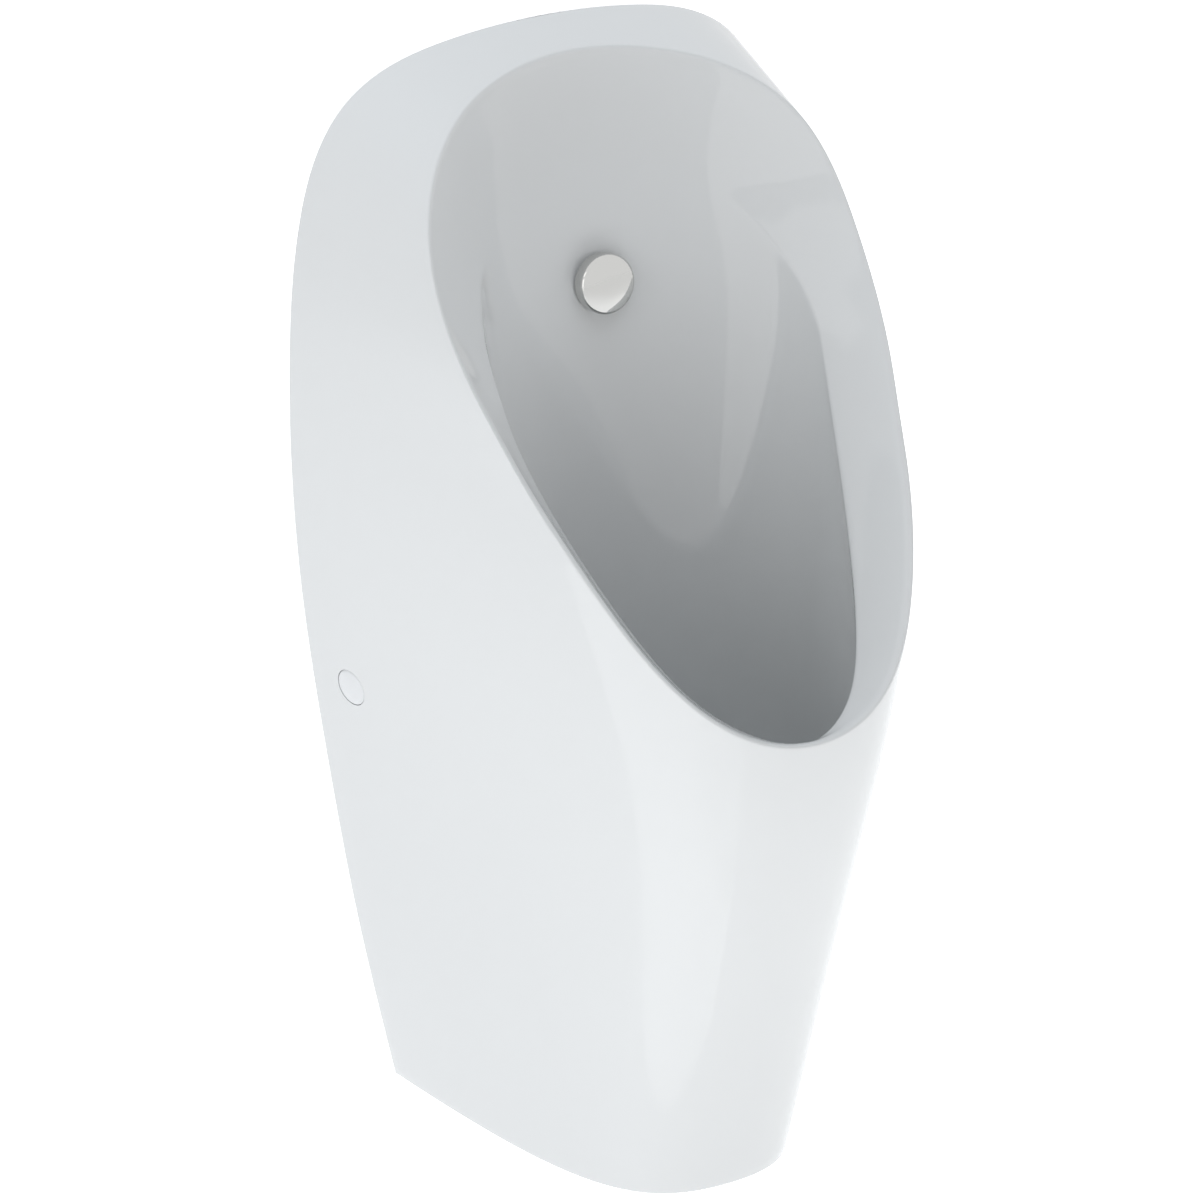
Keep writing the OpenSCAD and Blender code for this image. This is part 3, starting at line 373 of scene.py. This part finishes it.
def bowl(z, turn, thick=0):
    # Point of the bowl at a height and a turn, 90 degrees at its back and -90 at its front
    c = ceramic
    drop = (c["floorZ"] + c["floorRound"] - z) / (c["floorRound"] + thick)
    fill = 1 if drop <= 0 else max(0, 1 - min(1, drop) ** c["floorPower"]) ** (1 / c["floorPower"])
    shift = spline(c["bowlMiddleShares"], bowlStep(z), True) - c["bowlMiddleShares"][0]
    middle = c["outletY"] + c["depth"] * shift
    rise = max(0, z - c["lipZ"] + c["rakeDrop"])
    lean = rise * (c["rake"] + c["rakeCurve"] * rise / c["height"])
    front = depthAt(min(1, z / c["broadZ"])) - c["wall"] - lean
    reach = middle - bowlBackY(z) if turn > 0 else front - middle
    half = c["bowlWidth"] / 2 * spline(c["bowlWidthShares"], bowlStep(z), True)
    return Vector(((half + thick) * fill * cosDeg(turn), -middle + (reach + thick) * fill * sinDeg(turn), z))


def creaseZ(turn):
    c = ceramic
    return c["lipZ"] + (c["creaseTopZ"] - c["lipZ"]) * spline(c["creaseShares"], (turn + 90) / 180, True)


def smoothGuides(guides, t):
    k = max(1, min(math.floor(t), len(guides) - 3))
    f = t - k
    weights = ((1 - f) ** 3, 3 * f ** 3 - 6 * f * f + 4, 3 * f * (1 + f - f * f) + 1, f ** 3)
    return sum((guides[k - 1 + i] * w for i, w in enumerate(weights)), Vector((0, 0, 0))) / 6


def ceramicColumn(angle):
    # Points from the cut edge over the outside, the rim and the bowl to the floor, then back underneath
    c = ceramic
    edge, rimAt = edgePlace(angle), rimPlace(angle)
    turn = angle - 90 + c["columnLead"] * sinDeg(2 * angle) * cosDeg(angle / 2) ** 2
    start, rim, rimInside = skin(*edge), skin(*rimAt), skin(*rimAt, c["rim"])
    rimStep = c["rimStepShare"] * c["rim"]
    beforeRim = [1 - k * rimStep / (rim - start).length for k in range(c["rimGuides"])]

    def onSkin(f, inset=0):
        return skin(*between(edge, rimAt, f), inset)

    near = [onSkin(f) for f in beforeRim]
    controlRows = [near[k] - (near[k - 1] - 2 * near[k] + near[k + 1]) / 6 for k in (4, 3)]
    crease = bowl(creaseZ(turn), turn)
    bandLength = (crease - rimInside).length
    soften = c["creaseRound"] * (1 + c["creaseFade"] * max(0, sinDeg(turn)) ** 3)

    def onBand(f):
        hollow = c["bandDip"] * 4 * f * (1 - f) * min(1, bandLength / c["shortBand"])
        side = sinDeg(angle) ** 2
        return between(rimInside, crease, f) + hollow * Vector((side, 1 - side, 0))

    sideZ = c["floorZ"] + c["floorRound"]
    top = creaseZ(turn) - soften
    bandStart, bandMiddle, bandEnd = c["bandShares"]
    bandPlaces = (min(bandStart, rimStep / bandLength), bandMiddle, 1 - min(bandEnd, soften / bandLength))
    lastSide = c["sideGuides"] - 1
    guides = controlRows + [near[2], near[1], rim, rimInside]
    guides += [onBand(f) for f in bandPlaces]
    guides += [crease] + [bowl(between(top, sideZ, k / lastSide), turn) for k in range(lastSide + 1)]
    guides += [bowl(sideZ - f * c["floorRound"], turn) for f in c["floorShares"]]

    toInside = (skin(*edge, c["wall"]) - start).normalized()
    toFront = (onSkin(0.01) - start).normalized()
    corner = start + (toInside + toFront) * c["edgeRound"]
    rows = []
    for k in range(c["edgeRows"] + 1):
        roll = 90 * k / c["edgeRows"]
        rows.append(corner - (toFront * cosDeg(roll) + toInside * sinDeg(roll)) * c["edgeRound"])
    for k in range(1, c["skinRows"]):
        rows.append(onSkin(beforeRim[3] * (1 - (1 - k / c["skinRows"]) ** c["skinCrowding"])))
    steps = (len(guides) - 3) * c["rowsPerGuide"]
    rows += [smoothGuides(guides, 1 + k / c["rowsPerGuide"]) for k in range(steps + 1)]
    rows += [Vector((0, -c["outletY"], c["floorZ"])), Vector((0, -c["outletY"], c["floorZ"] - c["wall"]))]

    front = ((1 - sinDeg(turn)) / 2) ** 4
    foldZ = creaseZ(turn) - c["hollowDrop"] - (c["hollowFrontDrop"] - c["hollowDrop"]) * front
    underDepth = c["floorRound"] + c["wall"]
    fold = 1 - (sideZ - foldZ) / underDepth if foldZ < sideZ else 1 + (foldZ - sideZ) / c["floorRound"]
    for k in range(1, c["underRows"] + 1):
        rise = fold * (k / c["underRows"]) ** c["underCrowding"]
        z = sideZ - underDepth * (1 - rise) if rise < 1 else sideZ + c["floorRound"] * (rise - 1)
        rows.append(bowl(z, turn, c["wall"]))
    hollow = spline(c["hollowShares"], angle / 180)
    rows += [onSkin(hollow * k / c["innerRows"], c["wall"]) for k in range(c["innerRows"], -1, -1)]
    return rows + [rows[0]]


def addSpun(bm, profile, place, segments=128):
    # Closed solid turned about local z from a profile of radii and heights in mm, then set in its place
    old = set(bm.verts)
    start = [bm.verts.new((r * mm, 0, z * mm)) for r, z in profile]
    edges = [bm.edges.new(pair) for pair in zip(start, start[1:])]
    if profile[0][0] > 0:
        edges.append(bm.edges.new((start[-1], start[0])))
    bmesh.ops.spin(bm, geom=start + edges, axis=(0, 0, 1), cent=(0, 0, 0), dvec=(0, 0, 0),
                   angle=2 * math.pi, steps=segments, use_merge=True)
    spun = [v for v in bm.verts if v not in old]
    bmesh.ops.transform(bm, matrix=place, verts=spun)
    closeUp(bm)


def closeUp(bm):
    bmesh.ops.remove_doubles(bm, verts=bm.verts, dist=weld)
    loose = [e for e in bm.edges if not e.link_faces]
    bmesh.ops.delete(bm, geom=loose, context="EDGES")
    bmesh.ops.recalc_face_normals(bm, faces=bm.faces)


def mirrorX(bm):
    bmesh.ops.scale(bm, vec=(-1, 1, 1), verts=bm.verts)
    bmesh.ops.recalc_face_normals(bm, faces=bm.faces)


# Places of the fittings: local z points out of the ceramic
def sprayPlace():
    c = ceramic
    seat = Vector((0, -bowlBackY(c["sprayZ"]), c["sprayZ"])) * mm
    return Matrix.Translation(seat) @ Matrix.Rotation(math.radians(90 - c["sprayTilt"]), 4, "X")


def sidePlace():
    s, v, step = ceramic["sideZ"] / ceramic["broadZ"], ceramic["sideShare"], 0.01
    up = skin(s + step, v) - skin(s - step, v)
    out = skin(s, v + step) - skin(s, v - step)
    normal = up.cross(out).normalized()
    return Matrix.Translation(skin(s, v) * mm) @ normal.to_track_quat("Z", "Y").to_matrix().to_4x4()


def cutWith(piece, bm, operation):
    mesh = bpy.data.meshes.new("cutter")
    bm.to_mesh(mesh)
    bm.free()
    cutter = bpy.data.objects.new("cutter", mesh)
    bpy.context.scene.collection.objects.link(cutter)
    modifier = piece.modifiers.new("cut", "BOOLEAN")
    modifier.object, modifier.operation, modifier.solver = cutter, operation, "MANIFOLD"
    bpy.context.view_layer.update()
    shaped = bpy.data.meshes.new_from_object(piece.evaluated_get(bpy.context.evaluated_depsgraph_get()))
    piece.modifiers.clear()
    piece.data = shaped
    bpy.data.objects.remove(cutter)


def hangerBridge():
    # Arch-shaped slab across the hollow, which carries the two hanger holes
    c = ceramic
    first = 1 + math.degrees(math.atan2(c["height"] - c["bridgeDrop"] - c["broadZ"], outline(1.3))) / 90
    steps = [between(first, 2, k / c["archSteps"]) for k in range(c["archSteps"] + 1)]
    arch = [placeOnRib(s, outline(s) - c["wall"] / 2, c["bridgeGap"]) for s in steps]
    bm = bmesh.new()
    verts = [bm.verts.new(p * mm) for p in arch]
    verts += [bm.verts.new(Vector((-p.x, p.y, p.z)) * mm) for p in reversed(arch[:-1])]
    slab = bmesh.ops.extrude_face_region(bm, geom=[bm.faces.new(verts)])
    moved = [v for v in slab["geom"] if isinstance(v, bmesh.types.BMVert)]
    bmesh.ops.translate(bm, verts=moved, vec=(0, -c["bridgeThick"] * mm, 0))
    bmesh.ops.recalc_face_normals(bm, faces=bm.faces)
    return bm


# Holes of the ceramic: radius and height of each corner of their profiles, in millimetres
holes = {
    "spray": [(0, 12), (17.9, 12), (17.9, 0), (12.5, 0), (12.5, -9.5), (19.5, -9.5), (19.5, -21.5),
              (12.5, -21.5), (12.5, -29.5), (0, -29.5)],
    "outlet": [(0, 176), (32.5, 176), (32.5, 151.5), (29, 151.5), (29, 140), (39.5, 140), (39.5, 128),
               (0, 128)],
    "hanger": [(0, -4), (ceramic["hangerHole"] / 2, -4), (ceramic["hangerHole"] / 2, 17), (0, 17)],
    "side": [(0, 3), (11.3, 3), (11.3, -1.7), (9.5, -1.7), (9.5, -6.5), (5.7, -6.5), (5.7, -19), (0, -19)],
}


def ceramicHoles():
    c = ceramic
    bm = bmesh.new()
    addSpun(bm, holes["spray"], sprayPlace())
    addSpun(bm, holes["outlet"], Matrix.Translation((0, -c["outletY"] * mm, 0)))
    for side in (-1, 1):
        hanger = Vector((side * c["hangerPitch"] / 2, 0, c["height"] - c["hangerDrop"])) * mm
        outOfWall = Matrix.Rotation(math.radians(90), 4, "X")
        addSpun(bm, holes["hanger"], Matrix.Translation(hanger) @ outOfWall)
        mirror = Matrix.Scale(-1, 4, (1, 0, 0)) if side < 0 else Matrix.Identity(4)
        addSpun(bm, holes["side"], mirror @ sidePlace())
    return bm


def makeCeramic():
    c = ceramic
    columns = [ceramicColumn(180 * i / c["columns"]) for i in range(c["columns"] + 1)]
    lastRow = len(columns[0]) - 1
    bm = bmesh.new()
    bmesh.ops.create_grid(bm, x_segments=c["columns"], y_segments=lastRow, size=1)
    for v in bm.verts:
        i = round((v.co.x + 1) / 2 * c["columns"])
        j = round((v.co.y + 1) / 2 * lastRow)
        v.co = columns[i][j] * mm
    bmesh.ops.remove_doubles(bm, verts=bm.verts, dist=weld)
    bmesh.ops.mirror(bm, geom=bm.verts[:] + bm.edges[:] + bm.faces[:], matrix=Matrix.Identity(4),
                     merge_dist=weld, axis="X")
    closeUp(bm)
    piece = newPiece("glazedBody", bm, finishes["glazed_ceramic"])
    cutWith(piece, hangerBridge(), "UNION")
    cutWith(piece, ceramicHoles(), "DIFFERENCE")
    piece.data.shade_smooth()
    piece.data.set_sharp_from_angle(angle=math.radians(smoothAngle))
    print("ceramic faces:", len(piece.data.polygons))
    return piece


glazedBody = makeCeramic()
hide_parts("ceramic_body")
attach(glazedBody, "root")


# Chrome cap of the spray head, sizes in millimetres
cap = {
    "radius": 17.5, "low": 0.3, "height": 10, "wall": 1.5, "dome": 2.0, "domePower": 2.5, "domeSteps": 12,
    "round": 1.6, "roundSteps": 8, "sharpAngle": 50,
}


def makeCap():
    r, low, high, steps = cap["radius"], cap["low"], cap["height"], cap["domeSteps"]
    inside, roof = r - cap["wall"], high - cap["dome"] - cap["wall"]
    shares = [k / steps for k in range(steps, -1, -1)]
    face = [(r * share, high - cap["dome"] * share ** cap["domePower"]) for share in shares]
    bm = bmesh.new()
    addSpun(bm, [(0, roof), (inside, roof), (inside, low), (r, low)] + face, Matrix.Identity(4))

    def isUpperRim(v):
        return v.co.z > high / 2 * mm and abs(v.co.xy.length - r * mm) < weld

    rim = [e for e in bm.edges if all(isUpperRim(v) for v in e.verts)]
    bmesh.ops.bevel(bm, geom=rim, offset=cap["round"] * mm, segments=cap["roundSteps"], profile=0.5,
                    affect="EDGES", material=-1)
    bmesh.ops.transform(bm, matrix=sprayPlace(), verts=bm.verts)
    return newPiece("chromeCap", bm, finishes["polished_chrome"], cap["sharpAngle"])


chromeCap = makeCap()
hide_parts("spray_cap")
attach(chromeCap, "spray_cap")
print("spray cap made")


# Domed covers over the side screws, sizes in millimetres
cover = {
    "radius": 11, "back": -1.65, "edge": 1.1, "bevel": 0.5, "dome": 2.5, "domeSteps": 8, "shell": 0.9,
    "skirt": (8.4, 9.4), "foot": -4, "sharpAngle": 60,
}


def makeCover(name, side):
    v = cover
    r, back = v["radius"], v["back"]
    skirtInside, skirtOutside = v["skirt"]
    shoulder = v["edge"] + v["bevel"]
    outside = [(r, back), (r, back + v["edge"]), (r - v["bevel"], back + shoulder)]
    shares = [k / v["domeSteps"] for k in range(1, v["domeSteps"] + 1)]
    crown = [(between(r - v["bevel"], 0, share), back + between(shoulder, v["dome"], 1 - (1 - share) ** 2))
             for share in shares]
    inside = [(0, back + v["shell"]), (skirtInside, back + v["shell"]), (skirtInside, v["foot"]),
              (skirtOutside, v["foot"]), (skirtOutside, back)]
    bm = bmesh.new()
    addSpun(bm, inside + outside + crown, sidePlace())
    if side < 0:
        mirrorX(bm)
    return newPiece(name, bm, finishes["white_plastic"], v["sharpAngle"])


coverPlaces = {"screwCoverLeft": ("side_cover_left", -1), "screwCoverRight": ("side_cover_right", 1)}
for name, (node, side) in coverPlaces.items():
    piece = makeCover(name, side)
    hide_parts(node)
    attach(piece, node)
print("screw covers made")


# Ribbed plugs in the wall, sizes in millimetres
plugs = {
    "hangerPlugs": {"node": "hanger_wall_plugs", "radius": 6, "bore": 4.2, "deep": 55, "length": 60,
                    "x": 70, "z": 604},
    "bracketPlugs": {"node": "bracket_wall_plugs", "radius": 5, "bore": 3.2, "deep": 45, "length": 50,
                     "x": 101.8, "z": 277},
}
plugShape = {
    "collar": 3, "rib": 3.5, "tip": 14, "tipRound": 1, "segments": 64,
    "grooveShare": 0.86, "tipShare": 0.6,      # of the plug's radius
    "ribShares": (0.1, 0.35, 0.45),            # of a rib: the groove's start, its end and the full rib
}


def makePlugs(name, plug):
    shape = plugShape
    r, length, rib = plug["radius"], plug["length"], shape["rib"]
    groove, tip = r * shape["grooveShare"], r * shape["tipShare"]
    grooveStart, grooveEnd, ribFull = (share * rib for share in shape["ribShares"])
    bore, deep = plug["bore"], plug["deep"]
    profile = [(0, deep), (bore, deep), (bore, 0), (r, 0), (r, shape["collar"])]
    for k in range(int((length - shape["tip"] - shape["collar"]) / rib)):
        z = shape["collar"] + k * rib
        profile += [(groove, z + grooveStart), (groove, z + grooveEnd), (r, z + ribFull), (r, z + rib)]
    profile += [(groove, length - shape["tip"]), (tip, length - shape["tipRound"]),
                (tip - shape["tipRound"], length), (0, length)]
    bm = bmesh.new()
    intoWall = Matrix.Rotation(math.radians(-90), 4, "X")
    for side in (-1, 1):
        mouth = Vector((side * plug["x"], 0, plug["z"])) * mm
        addSpun(bm, profile, Matrix.Translation(mouth) @ intoWall, shape["segments"])
    piece = newPiece(name, bm, finishes["grey_nylon"])
    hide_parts(plug["node"])
    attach(piece, "root")


for name, plug in plugs.items():
    makePlugs(name, plug)
print("wall plugs made")


# Room: a white floor well below, white surroundings and soft panels around
room = {
    "floorZ": -0.33, "floorSize": 14, "floorRoughness": 0.9, "white": "#FFFFFF",
    "surroundings": 0.43,      # strength of the world as a light
    "shown": 1.0,              # and as what the camera and the mirrors see
    "lift": 0.5,               # glow that brings the seen floor up to white
    "centre": (0, -0.15, 0.45),
}
panels = {
    # turn from the front (left is negative), rise, distance, width and height in metres, power in watts,
    # colour, and whether the glaze mirrors the panel
    "frontPanel": (-52, 6, 2.2, 1.87, 1.10, 4.2, "#FFFEFC", True),
    "highPanel": (-62, 34, 2.2, 1.45, 0.50, 1.3, "#FFFEFC", True),
    "leftPanel": (-95, 20, 2.6, 2.2, 2.4, 19.4, "#F9FCFF", False),
    "rightPanel": (75, 0, 2.6, 2.6, 1.4, 11.3, "#FFFEFC", False),
    "wallPanel": (180, 45, 2.6, 2.6, 2.0, 30, "#F3F9FF", False),
    "topPanel": (15, 80, 2.4, 2.0, 2.0, 16.3, "#F3F9FF", False),
}
floorPanels = {
    # place, width and depth in metres, turn, power in watts, and whether the glaze mirrors the panel
    "streakGlow": ((-1.18, -0.86, -0.325), (1.64, 1.72), -30, 5.2, True),
    "nearGlow": ((0.3, -1.6, -0.325), (2.0, 2.0), 0, 14, False),
}


def seenRays(tree):
    # 1 on what the camera, a mirror or a glass sees, 0 on what lights the object
    path = addNode(tree, "ShaderNodeLightPath")
    seen = path.outputs["Is Camera Ray"]
    for kind in ("Is Glossy Ray", "Is Transmission Ray"):
        widest = addNode(tree, "ShaderNodeMath", {"operation": "MAXIMUM"})
        tree.links.new(seen, widest.inputs[0])
        tree.links.new(path.outputs[kind], widest.inputs[1])
        seen = widest.outputs[0]
    return seen


def makeRoom():
    bm = bmesh.new()
    bmesh.ops.create_grid(bm, x_segments=1, y_segments=1, size=room["floorSize"])
    bmesh.ops.translate(bm, verts=bm.verts, vec=(0, 0, room["floorZ"]))
    white = toLinear(room["white"])
    paint = {"Base Color": white, "Roughness": room["floorRoughness"], "Emission Color": white}
    material, tree, principled = newMaterial("paleFloor", paint)
    lift = addNode(tree, "ShaderNodeMath", {"operation": "MULTIPLY"})
    tree.links.new(seenRays(tree), lift.inputs[0])
    lift.inputs[1].default_value = room["lift"]
    tree.links.new(lift.outputs[0], principled.inputs["Emission Strength"])
    floor = newPiece("floor", bm, material)

    world = bpy.data.worlds.new("studio")
    bpy.context.scene.world = world
    world.use_nodes = True
    tree = world.node_tree
    tree.nodes.clear()
    lit = addNode(tree, "ShaderNodeBackground", {"Color": white, "Strength": room["surroundings"]})
    shown = addNode(tree, "ShaderNodeBackground", {"Color": white, "Strength": room["shown"]})
    mixed = addNode(tree, "ShaderNodeMixShader", links={"Fac": seenRays(tree)})
    tree.links.new(lit.outputs[0], mixed.inputs[1])
    tree.links.new(shown.outputs[0], mixed.inputs[2])
    addNode(tree, "ShaderNodeOutputWorld", links={"Surface": mixed.outputs[0]})


def addLamp(name, place, facing, size, power, colour, isMirrored, turn=0):
    light = bpy.data.lights.new(name, "AREA")
    light.shape = "RECTANGLE"
    light.size, light.size_y = size
    light.energy = power
    light.color = toLinear(colour)[:3]
    lamp = bpy.data.objects.new(name, light)
    bpy.context.scene.collection.objects.link(lamp)
    turned = Matrix.Rotation(math.radians(turn), 4, "Z")
    lamp.matrix_world = turned @ Vector(facing).to_track_quat("-Z", "Y").to_matrix().to_4x4()
    lamp.location = place
    lamp.visible_camera = False
    lamp.visible_glossy = isMirrored


makeRoom()
for name, (turn, rise, distance, width, height, power, colour, isMirrored) in panels.items():
    toPanel = Vector((sinDeg(turn) * cosDeg(rise), -cosDeg(turn) * cosDeg(rise), sinDeg(rise)))
    place = Vector(room["centre"]) + toPanel * distance
    addLamp(name, place, -toPanel, (width, height), power, colour, isMirrored)
for name, (place, size, turn, power, isMirrored) in floorPanels.items():
    addLamp(name, place, (0, 0, 1), size, power, room["white"], isMirrored, turn)
print("room lit")
